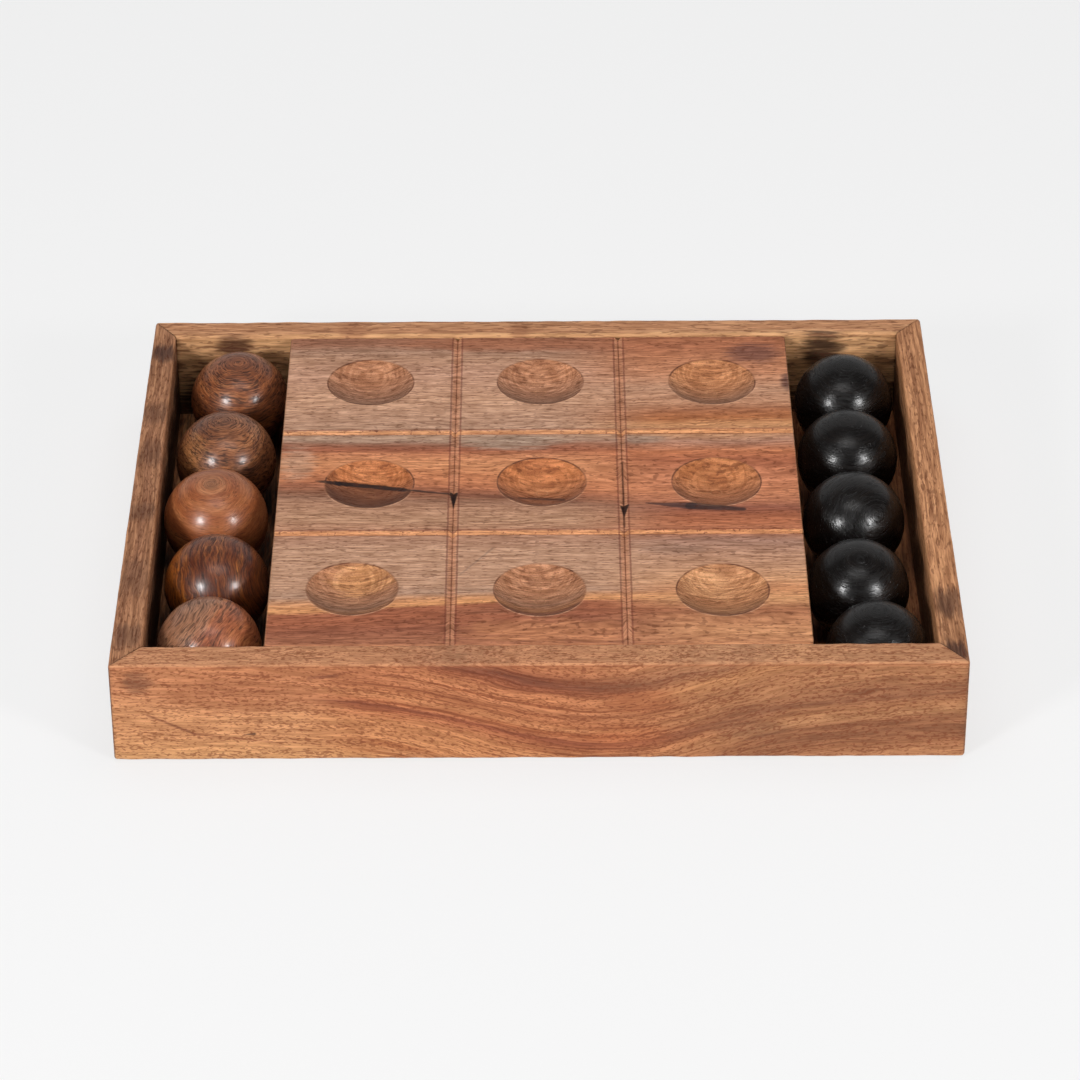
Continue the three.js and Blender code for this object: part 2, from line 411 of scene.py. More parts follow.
def stroke(wood, x, y, start, end, half_start, half_end, soft=0.4):
    """A mark between two points, in millimetres, 0 to 1."""
    run_x, run_y = end[0] - start[0], end[1] - start[1]
    square = run_x ** 2 + run_y ** 2
    from_x, from_y = wood.sub(x, start[0]), wood.sub(y, start[1])
    share = wood.math("MULTIPLY_ADD", from_x, run_x / square,
                      wood.mul(from_y, run_y / square), clamp=True)
    off_x = wood.sub(from_x, wood.mul(share, run_x))
    off_y = wood.sub(from_y, wood.mul(share, run_y))
    distance = wood.math("SQRT", wood.square_sum(off_x, off_y))
    half = wood.math("MULTIPLY_ADD", share, half_end - half_start, half_start)
    return wood.fade(wood.sub(distance, half), -soft, soft, 1.0, 0.0)


def paint_strokes(wood, color, x, y, strokes):
    """Marks: start, end, half width at each, a web colour and a strength."""
    jitter = wood.mul(wood.sub(wood.layers(0.8, 5.0), 0.5), 1.6)
    y = wood.add(y, jitter)
    for start, end, half_start, half_end, code, strength in strokes:
        mark = stroke(wood, x, y, start, end, half_start, half_end)
        color = wood.stain_and_painted_light(color, mark, strength, code)
    return color


def rail_wood(name, grain, seed, stops, patches=(), sway=(2.5, 0.5), **surface):
    wood = Wood(name, grain, seed, sway=sway)
    tone = wood.add(wood.mul(wood.layers(9, 260), 0.7), wood.mul(wood.layers(2.2, 70), 0.3))
    color = wood.ramp(tone, stops, 0.2, 0.8)
    color = paint_patches(wood, color, patches)
    return wood_surface(wood, color, 0.52, **surface)


def front_wood():
    """The front rail: a valley figure in the middle, zigzag grain at both sides of it."""
    front_seed = 0.31
    valley = (20, 0, 60, 4000, 22)
    wood = Wood("front_rail_wood", (quarter, 0, 0), front_seed, [valley], (3.0, 1.0))
    x, _, z = wood.place
    height = wood.sub(wood.level, level_shift * front_seed)
    lowest, highest = -4, 68  # of the figure's level
    left = wood.ramp(height, [
        (-2, "#d09c68"), (4, "#cb925f"), (8, "#c48658"), (20, "#c38456"), (24, "#bd7a50"),
        (26.5, "#a5613f"), (28, "#8e4e33"), (29.5, "#b8734b"), (33, "#c08054"),
        (36, "#b27048"), (41, "#bd7b52"), (45, "#bf7c52"), (49, "#a15f3e"), (52, "#7c4630"),
        (55, "#9b5c3c"), (58, "#bb774f"), (66, "#b3704b"),
    ], lowest, highest)
    right = wood.ramp(height, [
        (-2, "#c28c5c"), (3, "#b9825a"), (8, "#9c6544"), (13, "#7c4c33"), (18, "#8b583b"),
        (21, "#b28058"), (24, "#a06b47"), (28, "#83533a"), (32, "#8d5c3e"), (36, "#ab7650"),
        (41, "#a06c48"), (46, "#b98154"), (50, "#8b5c40"), (54, "#a37150"), (60, "#b88058"),
        (66, "#ab7450"),
    ], lowest, highest)
    plain = wood.ramp(height, [
        (-2, "#d09f6c"), (4, "#cc9565"), (10, "#c88f62"), (20, "#c58c60"), (30, "#bd8058"),
        (45, "#b87a52"),
    ], lowest, highest)
    left = wood.blend(wood.fade(x, -92, -62), plain, wood.scale(0.92, left))
    lines = wood.shade(left, wood.layers(1.3, 90), (0.66, 0.52, 0.44), 1.06, 0.38, 0.5)
    left = wood.blend(wood.fade(x, -80, -50), left, lines)
    blend_place = wood.add(x, wood.mul(z, 0.8))
    right = wood.blend(0.3, right, srgb("#a6724a"))
    color = wood.blend(wood.fade(blend_place, 20, 95), left, right)
    zigzag_left = wood.fade(x, -85, -45, 1.0, 0.1)
    zigzag_right = wood.math("MULTIPLY", wood.fade(x, 15, 50), wood.fade(x, 95, 125, 1.0, 0.1))
    bent = wood.chevrons(wood.math("MAXIMUM", zigzag_left, zigzag_right))
    color = paint_patches(wood, color, spots(
        1, (-140, 33, 6, 6, "#5f3b2a", 0.6), (-105, 30, 30, 12, "#a2633f", 0.5),
        (-60, 36, 20, 5, "#9b5c3b", 0.45), (36, 24, 14, 6, "#9a5532", 0.5),
        (30, 10, 16, 6, "#a9613a", 0.5), (75, 12, 14, 5, "#7b5138", 0.5)))
    face_top = (tray_top - arris_radius) / MM
    color = wood.stain_and_painted_light(color, ring_line(wood, z, face_top, 0.4), 0.5, "#8a472c")
    color = paint_strokes(wood, color, x, z, [
        ((-137, 19.5), (-121, 11.5), 0.5, 0.5, "#7c442e", 0.75),
        ((-121, 11.5), (-90, 7), 0.5, 0.2, "#8a4e34", 0.6),
        ((-103.5, 11), (-100, 11.2), 0.2, 0.6, "#3a1c16", 0.85),
        ((-80, 35), (-70, 36), 0.8, 0.5, "#7c452f", 0.6),
    ])
    upper = wood.fade(z, face_top, face_top + 0.6)
    color = wood.stain_and_painted_light(color, upper, 0.62, "#bb8a66")
    return wood_surface(wood, color, 0.52, (2.0, 30), (0.8, 9), (1.9, 0.7, 0.56), bent=bent,
                        banding=0.5, contrast=0.75, pore_code="#763c24", pore_share=0.62)


def spots(axis, *rows, middle=None, radius=None):
    """Patches with the same middle and radius along one axis (0 to 2).

    Each row has the other two middles, the other two radii, a web colour and a strength.
    """
    made = []
    for a, b, radius_a, radius_b, code, strength in rows:
        centre, radii = [a, b], [radius_a, radius_b]
        centre.insert(axis, middle)
        radii.insert(axis, radius)
        made.append((centre, radii, code, strength))
    return made


def paint_patches(wood, color, patches):
    """Soft patches, for stains and for painted light and shade: (x, y, z) centre and radii in
    millimetres, a web colour and a strength.

    A stain reaches all the way along an axis whose centre and radius are None.
    """
    for centre, radii, code, strength in patches:
        offs = [wood.math("DIVIDE", wood.sub(axis, middle), radius)
                for axis, middle, radius in zip(wood.place, centre, radii) if radius]
        frayed = wood.mul(wood.sub(wood.layers(1.6, 14.0), 0.5), 2.4)
        ragged = wood.add(wood.square_sum(*offs), frayed)
        inside = wood.fade(ragged, 0.1, 1.2, strength, 0.0)
        color = wood.blend(inside, color, srgb(code))
    return color


# ---- mesh helpers ----------------------------------------------------------------------

class Skin:
    """A mesh in the making: points, each with its masks, and faces."""

    def __init__(self, *more_masks):
        self.points = []
        self.masks = {name: [] for name in ("wear", "grime", *more_masks)}
        self.faces = []

    def point(self, place, wear=0.0, grime=0.0, **more):
        self.points.append(Vector(place))
        values = {"wear": wear, "grime": grime, **more}
        for name, kept in self.masks.items():
            kept.append(values.get(name, 0.0))
        return len(self.points) - 1

    def sheet(self, rows, closed=False):
        """Quads between rows of points; closed joins the ends of each row."""
        for lower, upper in zip(rows, rows[1:]):
            count = len(lower)
            for i in range(count if closed else count - 1):
                j = (i + 1) % count
                self.faces.append((lower[i], lower[j], upper[j], upper[i]))

    def mesh(self, name):
        made = bpy.data.meshes.new(name)
        made.from_pydata([tuple(p) for p in self.points], [], self.faces)
        for mask, values in self.masks.items():
            made.attributes.new(mask, "FLOAT", "POINT").data.foreach_set("value", values)
        return made

    def finished(self, name, sharp_degrees=35):
        """The mesh with its doubled points merged and its faces turned and shaded."""
        made = self.mesh(name)
        tidy_mesh(made, sharp_degrees)
        return made


def settle(work, mesh, sharp_degrees):
    """Writes a bmesh to its mesh, faces outwards, and shades all but sharp edges smooth."""
    bmesh.ops.recalc_face_normals(work, faces=work.faces)
    work.to_mesh(mesh)
    work.free()
    mesh.polygons.foreach_set("use_smooth", [True] * len(mesh.polygons))
    mesh.set_sharp_from_angle(angle=math.radians(sharp_degrees))


def tidy_mesh(mesh, sharp_degrees=35):
    """Merges doubled points, then settles the mesh."""
    work = bmesh.new()
    work.from_mesh(mesh)
    bmesh.ops.remove_doubles(work, verts=work.verts, dist=0.002 * MM)
    settle(work, mesh, sharp_degrees)


def piece(name, mesh, material, body, node, middle=(0, 0, 0)):
    """A visible piece that stands for a CAD node and rides on a body."""
    mesh.materials.append(material)
    made = new_object(name, mesh)
    made.location = middle
    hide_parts(node)
    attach(made, body)


def ripple_at(place, size, salt=0.0):
    """Smooth hand-made unevenness at a place, from -1 to 1, over lumps of a size."""
    return noise.noise(Vector(place) / size + Vector((salt, 2 * salt, 3 * salt)))


def rounded_plan(place, half_x, half_y, radius):
    """Rounds the upright corners of a rectangular plan; other places stay as they are."""
    over_x = abs(place.x) - (half_x - radius)
    over_y = abs(place.y) - (half_y - radius)
    if over_x <= 0 or over_y <= 0:
        return place
    square = max(over_x, over_y)
    factor = square / math.hypot(over_x, over_y)
    return Vector((
        math.copysign(half_x - radius + over_x * factor, place.x),
        math.copysign(half_y - radius + over_y * factor, place.y),
        place.z,
    ))


def spaced(length, step, fine=()):
    """Distances from 0 to length: steps of about step, and fine ones from both ends."""
    count = max(1, round(length / step))
    places = {length * i / count for i in range(count + 1)}
    if fine:
        reach = fine[-1]
        places = {p for p in places if reach < p < length - reach}
        places |= {0.0, length} | set(fine) | {length - f for f in fine}
    return sorted(places)


def arc(centre_a, centre_b, radius, start, end, steps):
    """Points of an arc in a section, with angles in degrees."""
    for i in range(steps + 1):
        angle = math.radians(start + (end - start) * i / steps)
        yield centre_a + radius * math.cos(angle), centre_b + radius * math.sin(angle)


# ---- rails -----------------------------------------------------------------------------

def rail_section(thickness):
    """Round the rail's section: (depth from the outer face, height, wear)."""
    r = arris_radius
    top = tray_top
    ledge = thickness - rebate_width
    outline = []

    def run(a, b, step=2 * MM):
        length = math.dist(a, b)
        count = max(1, round(length / step))
        for i in range(count + 1):
            t = i / count
            edge = min(t, 1 - t) * length
            wear = 0.35 * math.exp(-edge / (0.7 * MM)) if length > 5 * MM else 0.0
            outline.append((a[0] + (b[0] - a[0]) * t, a[1] + (b[1] - a[1]) * t, wear))

    def turn(a, b, start, end):
        for depth, height in list(arc(a, b, r, start, end, 6))[1:-1]:
            outline.append((depth, height, 1.0))

    run((0, r), (0, top - r))
    turn(r, top - r, 180, 90)
    run((r, top), (thickness - r, top), 1 * MM)
    turn(thickness - r, top - r, 90, 0)
    run((thickness, top - r), (thickness, rebate_top))
    run((thickness, rebate_top), (ledge, rebate_top))
    run((ledge, rebate_top), (ledge, 0))
    run((ledge, 0), (r, 0))
    turn(r, r, 270, 180)
    return outline


def rail_mesh(name, outer, inner, thickness, salt):
    """A rail between two mitres. outer and inner are its edges' ends in plan."""
    section = rail_section(thickness)
    length = (outer[1] - outer[0]).length
    fine = [mitre_gap] + [f * MM for f in (0.16, 0.3, 0.5, 0.8, 1.2, 1.8, 2.6, 3.6)]
    stations = spaced(length, 2 * MM, fine)[1:-1]
    along = (outer[1] - outer[0]).normalized()
    inward = Vector((-along.y, along.x, 0))
    if inward.dot(inner[0] - outer[0]) < 0:
        inward = -inward
    middle = thickness / 2
    skin = Skin()
    rows = []
    for station in stations:
        share = station / length
        edge = min(station, length - station)
        closing = joint_sink if edge < mitre_gap * 1.01 else 0.0
        row = []
        for depth, height, wear in section:
            start = outer[0].lerp(outer[1], share)
            end = inner[0].lerp(inner[1], share)
            place = start.lerp(end, depth / thickness)
            place.z = height
            uneven = planing_height * ripple_at(place, 26 * MM, salt)
            uneven += wear * worn_height * (ripple_at(place, 7 * MM, salt + 5) - 0.4)
            out = Vector((0, 0, 0))
            if wear or height > tray_top - 1e-6:
                out += Vector((0, 0, 1)) * (height - tray_top / 2) / (tray_top / 2)
            out += -inward * (middle - depth) / middle
            place += out * (uneven - closing)
            place.z = max(place.z, 0.0)
            place = rounded_plan(place, tray_half_x, tray_half_y, corner_radius)
            grime = math.exp(-edge / (0.35 * MM)) * 0.9
            row.append(skin.point(place, wear, grime))
        rows.append(row)
    skin.sheet(rows, closed=True)
    skin.faces.append(tuple(rows[0]))
    skin.faces.append(tuple(rows[-1]))
    return skin.finished(name)


def plan(x, y):
    """A place on the ground."""
    return Vector((x, y, 0))


outer_corners = {
    (sx, sy): plan(sx * tray_half_x, sy * tray_half_y) for sx in (-1, 1) for sy in (-1, 1)
}
inner_corners = {
    (-1, -1): plan(-tray_half_x + rail_thickness_left_front, -tray_half_y + rail_thickness_front),
    (1, -1): plan(tray_half_x - rail_thickness_right, -tray_half_y + rail_thickness_front),
    (-1, 1): plan(-tray_half_x + rail_thickness_left_back, tray_half_y - rail_thickness_back),
    (1, 1): plan(tray_half_x - rail_thickness_right, tray_half_y - rail_thickness_back),
}

rail_ends = {
    "front_rail": ((-1, -1), (1, -1), rail_thickness_front),
    "back_rail": ((-1, 1), (1, 1), rail_thickness_back),
    "left_rail": ((-1, -1), (-1, 1), rail_thickness_left_front),
    "right_rail": ((1, -1), (1, 1), rail_thickness_right),
}


def burns(x, *places):
    """Scorched patches on a side rail's top: each has its y, half length and strength."""
    return [((x, y, 42), (9, half, 9), "#3a201a", strength) for y, half, strength in places]


quarter = math.pi / 2
# Where stains sit, in millimetres: just before an inner face, or halfway across a side rail.
back_face = (tray_half_y - rail_thickness_back) / MM - 0.5
side_face = (tray_half_x - rail_thickness_right) / MM - 0.5
side_middle = (tray_half_x - rail_thickness_right / 2) / MM
rail_materials = {
    "front_rail": front_wood(),
    "back_rail": rail_wood(
        "back_rail_wood", (quarter, 0, 0), 1.7,
        [(0.25, "#a5704e"), (0.42, "#b8845f"), (0.58, "#c4946c"), (0.75, "#cfa27a")],
        patches=spots(1, (None, None, None, None, "#d6a878", 0.7), middle=back_face, radius=2.6)
        + spots(1, (-118, 36, 8, 6, "#4a2a1c", 0.9), (-127, 22, 8, 12, "#5a3822", 0.6),
                (111, 34, 9, 12, "#25130e", 0.9), (132, 20, 8, 8, "#5a3822", 0.3),
                # The two near-black patches here, low on the inner face, are painted shadow.
                (-130, 12, 13, 14, "#1a0e08", 0.9), (None, 8, None, 11, "#1a0e08", 0.85),
                middle=back_face, radius=5)
        + spots(1, (-72, 41, 6, 5, "#9a6646", 0.6), (-7, 41, 4, 5, "#9a6646", 0.6),
                middle=111, radius=9),
        streak=(2.0, 30), fibre=(0.9, 10), pore=(4.5, 1.1, 0.4), banding=0.45,
    ),
    "left_rail": rail_wood(
        "left_rail_wood", (0, 0, quarter), 2.9,
        [(0.25, "#7f563e"), (0.42, "#94674a"), (0.58, "#a87a58"), (0.75, "#ba8c66")],
        patches=burns(-side_middle, (-99, 9, 0.55), (-62, 15, 0.4), (-19, 7, 0.45),
                      (21, 11, 0.4), (49, 9, 0.45), (94, 7.5, 0.85))
        # Painted shade over the lower part of the rail's inner face.
        + [((-side_face, None, 14), (3.5, None, 23), "#170c08", 0.95)],
        streak=(1.3, 26), fibre=(0.5, 7), pore=(3.4, 0.75, 0.46), contrast=0.9,
    ),
    "right_rail": rail_wood(
        "right_rail_wood", (0, 0, quarter), 4.3,
        [(0.25, "#98694a"), (0.42, "#ad7b56"), (0.58, "#bd8a62"), (0.75, "#cc9c70")],
        patches=burns(side_middle, (-111, 8, 0.85), (-80, 11, 0.65), (-96, 26, 0.25))
        # Painted shade over the lower part of the rail's inner face.
        + [((side_face, None, 13), (3.5, None, 21), "#26150d", 0.9)],
        streak=(1.3, 26), fibre=(0.5, 7), pore=(4.0, 0.8, 0.42), contrast=0.85,
    ),
}

for number, (rail_name, (start, end, thickness)) in enumerate(rail_ends.items()):
    mesh = rail_mesh(
        rail_name + "_shape",
        (outer_corners[start], outer_corners[end]),
        (inner_corners[start], inner_corners[end]),
        thickness,
        number,
    )
    piece(rail_name + "_oiled", mesh, rail_materials[rail_name], "tray", rail_name)


# ---- playing board ---------------------------------------------------------------------

board_half_x = board_high.x
board_half_y = board_high.y
board_arris = 0.7 * MM
board_corner = 1.5 * MM
lip = 1.12  # the groove's sanded lips end this share of its half width from its middle
groove_steps = (0, 0.08, 0.3, 0.55, 0.78, 0.9, 0.97, 1.04, lip)
well_sphere = (well_radius ** 2 + well_depth ** 2) / (2 * well_depth)
well_rim = well_radius / MM
board_edge = board_half_x / MM


def groove_cut(offset):
    """Depth of a V-groove at an offset from its middle line, with soft lips."""
    t = abs(offset) / groove_half
    if t >= lip:
        return 0.0
    soft = 0.05
    straight = 1 - math.sqrt(t * t + 0.0009)
    return groove_depth * 0.5 * (straight + math.sqrt(straight * straight + soft * soft) - 0.02)


def board_surface(x, y):
    """Height of the board's face outside the wells, with grooves and sanding marks."""
    place = Vector((x, y, 0))
    chip = 0.10 * MM * ripple_at(place, 1.7 * MM, 3) + 0.10 * MM * ripple_at(place, 9 * MM, 8)
    cut_x = max(groove_cut(x - side * groove_x + chip) for side in (-1, 1))
    cut_y = max(groove_cut(y - line + chip) for line in groove_y)
    uneven = 0.05 * MM * ripple_at(place, 30 * MM, 1)
    return board_top - max(cut_x, cut_y, 0.0) + uneven


def cell_edges(half, grooves):
    """The three cells' two edges along one axis."""
    rim = lip * groove_half
    edge = half - board_arris
    return [(-edge, grooves[0] - rim), (grooves[0] + rim, grooves[1] - rim),
            (grooves[1] + rim, edge)]


def divisions(low, high, fine_low, fine_high):
    """Distances across a cell, closer together at the ends that lie on the board's edge."""
    fine = [f * MM for f in (0.25, 0.5, 0.8, 1.2, 1.8)]
    fine_reach = 2.2 * MM
    places = [low + p for p in spaced(high - low, 1.1 * MM)]
    if fine_low:
        places = [low] + [low + f for f in fine] + [p for p in places if p > low + fine_reach]
    if fine_high:
        places = [p for p in places if p < high - fine_reach]
        places += [high - f for f in reversed(fine)] + [high]
    return places


columns = cell_edges(board_half_x, (-groove_x, groove_x))
rows_of_cells = cell_edges(board_half_y, groove_y)
x_places = [divisions(*edges, i == 0, i == 2) for i, edges in enumerate(columns)]
y_places = [divisions(*edges, i == 0, i == 2) for i, edges in enumerate(rows_of_cells)]


def cell_border(xs, ys):
    """The cell's border from its front left corner, anticlockwise, with an angle for each."""
    border = []
    sides = (
        [(x, ys[0]) for x in xs[:-1]],
        [(xs[-1], y) for y in ys[:-1]],
        [(x, ys[-1]) for x in reversed(xs[1:])],
        [(xs[0], y) for y in reversed(ys[1:])],
    )
    for turn_number, side in enumerate(sides):
        for i, (x, y) in enumerate(side):
            angle = math.radians(-135 + 90 * (turn_number + i / len(side)))
            border.append((x, y, angle))
    return border


def dish_depth(radius):
    """Depth of a well at a radius, with a sanded rim and a small mark at its middle."""
    blend = 0.45 * MM
    depth = well_depth - well_sphere + math.sqrt(well_sphere ** 2 - radius ** 2)
    soft = 0.5 * (depth + math.sqrt(depth * depth + (0.35 * blend) ** 2))
    mark = 0.07 * MM * math.exp(-((radius - 1.9 * MM) / (0.35 * MM)) ** 2)
    return soft + mark


well_rings = [0.5, 1.0, 1.5, 1.8, 2.1, 2.5, 3.2] + [4.2 + 0.9 * i for i in range(13)]
well_rings += [15.4, 15.8, 16.1, 16.35, 16.55, 16.75, 17.0, 17.4, 18.0]
flat_shares = (0.06, 0.15, 0.28, 0.45, 0.62, 0.8, 0.92, 1.0)


def well_centre(row, column):
    drift_x, drift_y = well_drift[row][column]
    return ((column - 1) * well_pitch_x + drift_x * MM,
            (row - 1) * well_pitch_y + drift_y * MM)


def well_cell(skin, xs, ys, centre_x, centre_y):
    border = cell_border(xs, ys)
    rings = []
    for ring in well_rings:
        radius = ring * MM
        row = []
        for _, _, angle in border:
            wobble = 1 + 0.004 * math.sin(2 * angle + centre_x * 90 + centre_y * 40)
            x = centre_x + radius * wobble * math.cos(angle)
            y = centre_y + radius * wobble * math.sin(angle)
            z = board_surface(x, y) - dish_depth(radius)
            wear = 0.5 * math.exp(-((radius - well_radius) / (0.5 * MM)) ** 2)
            row.append(skin.point((x, y, z), wear, radius=ring, ahead=(y - centre_y) / MM))
        rings.append(row)
    last = [skin.points[i].copy() for i in rings[-1]]
    for share in flat_shares:
        row = []
        for start_point, (x, y, _) in zip(last, border):
            flat_x = start_point.x + (x - start_point.x) * share
            flat_y = start_point.y + (y - start_point.y) * share
            row.append(skin.point((flat_x, flat_y, board_surface(flat_x, flat_y)), radius=30))
        rings.append(row)
    skin.sheet(rings, closed=True)
    middle = skin.point((centre_x, centre_y, board_surface(centre_x, centre_y) - dish_depth(0)))
    first = rings[0]
    for i, corner in enumerate(first):
        skin.faces.append((middle, corner, first[(i + 1) % len(first)]))


def surface_patch(skin, xs, ys):
    """A stretch of the board's face with no well in it."""
    rows = []
    for y in ys:
        rows.append([skin.point((x, y, board_surface(x, y)), radius=30) for x in xs])
    skin.sheet(rows)


def groove_places(middle):
    shares = [-s for s in reversed(groove_steps[1:])] + list(groove_steps)
    return [middle + s * groove_half for s in shares]


def board_mesh():
    skin = Skin("radius", "ahead")
    groove_xs = [groove_places(-groove_x), groove_places(groove_x)]
    groove_ys = [groove_places(line) for line in groove_y]
    for row, ys in enumerate(y_places):
        for column, xs in enumerate(x_places):
            well_cell(skin, xs, ys, *well_centre(row, column))
        for xs in groove_xs:
            surface_patch(skin, xs, ys)
    for ys in groove_ys:
        for xs in x_places + groove_xs:
            surface_patch(skin, xs, ys)
    mesh = skin.mesh("playing_board_shape")

    work = bmesh.new()
    work.from_mesh(mesh)
    bmesh.ops.remove_doubles(work, verts=work.verts, dist=0.01 * MM)
    wear = work.verts.layers.float["wear"]
    edge_x = board_half_x - board_arris
    edge_y = board_half_y - board_arris
    profile = list(arc(0, 0, board_arris, 90, 0, 5))[1:]
    profile.append((board_arris, -(board_high.z - board_low.z) + board_arris))
    rim = [e for e in work.edges if e.is_boundary]
    for out, rise in profile:
        made = bmesh.ops.extrude_edge_only(work, edges=rim)["geom"]
        fresh = [g for g in made if isinstance(g, bmesh.types.BMVert)]
        rim = [g for g in made if isinstance(g, bmesh.types.BMEdge) and g.is_boundary]
        for vert in fresh:
            start = vert.co.copy()
            down = board_arris - rise
            side_x = abs(start.x) >= edge_x - 1e-6
            side_y = abs(start.y) >= edge_y - 1e-6
            x = math.copysign(edge_x + out, start.x) if side_x else start.x
            y = math.copysign(edge_y + out, start.y) if side_y else start.y
            vert.co = Vector((x, y, min(start.z, board_top - down)))
            vert[wear] = 0.9 if rise > 0 else 0.2
    bmesh.ops.contextual_create(work, geom=rim)
    for vert in work.verts:
        vert.co = rounded_plan(vert.co, board_half_x, board_half_y, board_corner)
    settle(work, mesh, 32)
    return mesh


dip = 1.5  # splits and stains run down into the board at this slope, towards its back
knot_black = "#1b1112"
board_marks = [
    ((-82.3, 1.7), (-74, 0.2), 0.3, 1.5, knot_black, 0.92),
    ((-74, 0.2), (-50, -4.4), 1.5, 1.3, knot_black, 0.95),
    ((-50, -4.4), (-33, -7.6), 0.7, 0.5, "#2c1a16", 0.9),
    ((-29, -8.2), (16, -13.2), 1.2, 0.5, "#6d3f2d", 0.6),
    ((-7, -10.4), (9, -11.6), 0.5, 0.9, "#3a1d14", 0.8),
    ((39.5, -14.4), (56, -16.4), 0.2, 2.3, "#4a302d", 0.9),
    ((56, -16.4), (75, -18.7), 2.3, 1.1, "#33201f", 0.9),
    ((-37.2, -17.6), (-34.6, -21), 0.1, 0.2, "#5a3528", 0.6),
    ((-16.6, -44.1), (-28, -60.6), 0.35, 0.3, "#77655a", 0.5),
    ((-31.2, -6.8), (-31.2, -15), 1.6, 0, knot_black, 0.97),
    ((31.6, -15.8), (31.4, -21.5), 1.6, 0, knot_black, 0.97),
    ((31.4, 16), (31.4, -28), 0.25, 0.3, "#3c2018", 0.8),
]


def board_wood():
    """The board's bands, its colour and how deep in a well each place lies."""
    wood = Wood("board_wood", seed=0.0, sway=(3.0, 0.7))
    x, y, z = wood.place
    dished = wood.fade(wood.mask("radius"), well_rim + 0.5, well_rim + 2.5, 1.0, 0.0)
    sunk = wood.math("MAXIMUM", wood.sub(board_top / MM, z), 0.0)
    deep = wood.mul(sunk, dished)
    wood.w = wood.mul(deep, 0.4)
    cut = wood.sub(sunk, deep)
    wood.level = wood.sub(wood.level, wood.mul(cut, dip))

    def slant(slope, start, middle, width):
        """Bends the figure so that it slopes along the board near one line."""
        along = wood.mul(wood.fade(x, start, start + 120), slope * 75)
        return wood.mul(along, wood.bell(wood.mul(wood.sub(y, middle), 1 / width)))

    bend = wood.add(slant(0.13, -82, -3, 15), slant(-0.12, -98, -82, 14))
    wood.level = wood.add(wood.level, bend)
    across = wood.add(wood.level, deep)
    reach = 106  # of the bands to both sides of the board's middle
    left_bands = wood.ramp(across, [
        (-105, "#9c6549"), (-97, "#8c543c"), (-91, "#96583c"), (-86, "#9a5c40"),
        (-84, "#cf9462"), (-80, "#c48c62"), (-75, "#a88670"), (-69, "#b38c72"),
        (-45, "#b58e74"), (-38, "#a98068"), (-30, "#ab7f64"), (-24, "#ae866a"),
        (-14, "#a87e64"), (-10, "#8f6852"), (-6, "#8a5c44"), (-1, "#985f44"), (2, "#b67450"),
        (8, "#bf7c54"), (14, "#c88a60"), (19, "#c4835c"), (23, "#98593e"), (27, "#8f5f48"),
        (30, "#a88a76"), (34, "#ae8c74"), (40, "#b08a72"), (60, "#be9478"), (78, "#ba9078"),
        (88, "#ae866c"), (94, "#a07c66"), (98, "#94664e"), (105, "#8c5c44"),
    ], -reach, reach)
    right_bands = wood.ramp(across, [
        (-105, "#ae7854"), (-100, "#be8860"), (-93, "#a06848"), (-86, "#c89468"),
        (-75, "#c2875e"), (-66, "#c79670"), (-56, "#b68a6c"), (-48, "#b0866c"),
        (-40, "#9c7664"), (-33, "#a86c4c"), (-27, "#b26e4c"), (-22, "#9a5a3c"),
        (-14, "#8c5440"), (-8, "#ae7052"), (2, "#be7c58"), (12, "#bb7856"), (17, "#a05e40"),
        (22, "#b8724c"), (29, "#a87c66"), (34, "#b88862"), (40, "#c28c60"), (45, "#a8683e"),
        (50, "#a06644"), (56, "#b68668"), (66, "#ba8e72"), (78, "#bc8260"), (90, "#b07452"),
        (98, "#a86a4a"), (105, "#a06444"),
    ], -reach, reach)
    side = wood.fade(wood.add(x, wood.mul(y, 0.1)), 5, 55)
    color = wood.blend(side, left_bands, right_bands)
    color = paint_patches(wood, color, spots(
        2, (-10, 28, 22, 6, "#a08876", 0.85), (38, 30, 12, 3.5, "#a08a7a", 0.7),
        (-15, 100, 40, 7, "#a06648", 0.7), (83, 92, 12, 9, "#6a4238", 0.8),
        (96, 71, 4, 8, "#4a2c2a", 0.85), (50, -45, 14, 4, "#8d6e5e", 0.5),
        (-90, 14, 8, 14, "#a98c78", 0.6), (4, -97, 34, 9, "#b67a54", 0.75),
        (-10, -84, 30, 3, "#8a5840", 0.5)))
    return wood, wood.scale(1.08, color), deep


def groove_masks(wood):
    """Distance from the nearest groove's middle, in millimetres, lengthwise and crosswise."""
    x, y, _ = wood.place
    long_way = wood.absolute(wood.sub(wood.absolute(x), groove_x / MM))
    middle = (groove_y[0] + groove_y[1]) / 2 / MM
    reach = (groove_y[1] - groove_y[0]) / 2 / MM
    cross_way = wood.absolute(wood.sub(wood.absolute(wood.sub(y, middle)), reach))
    return long_way, cross_way


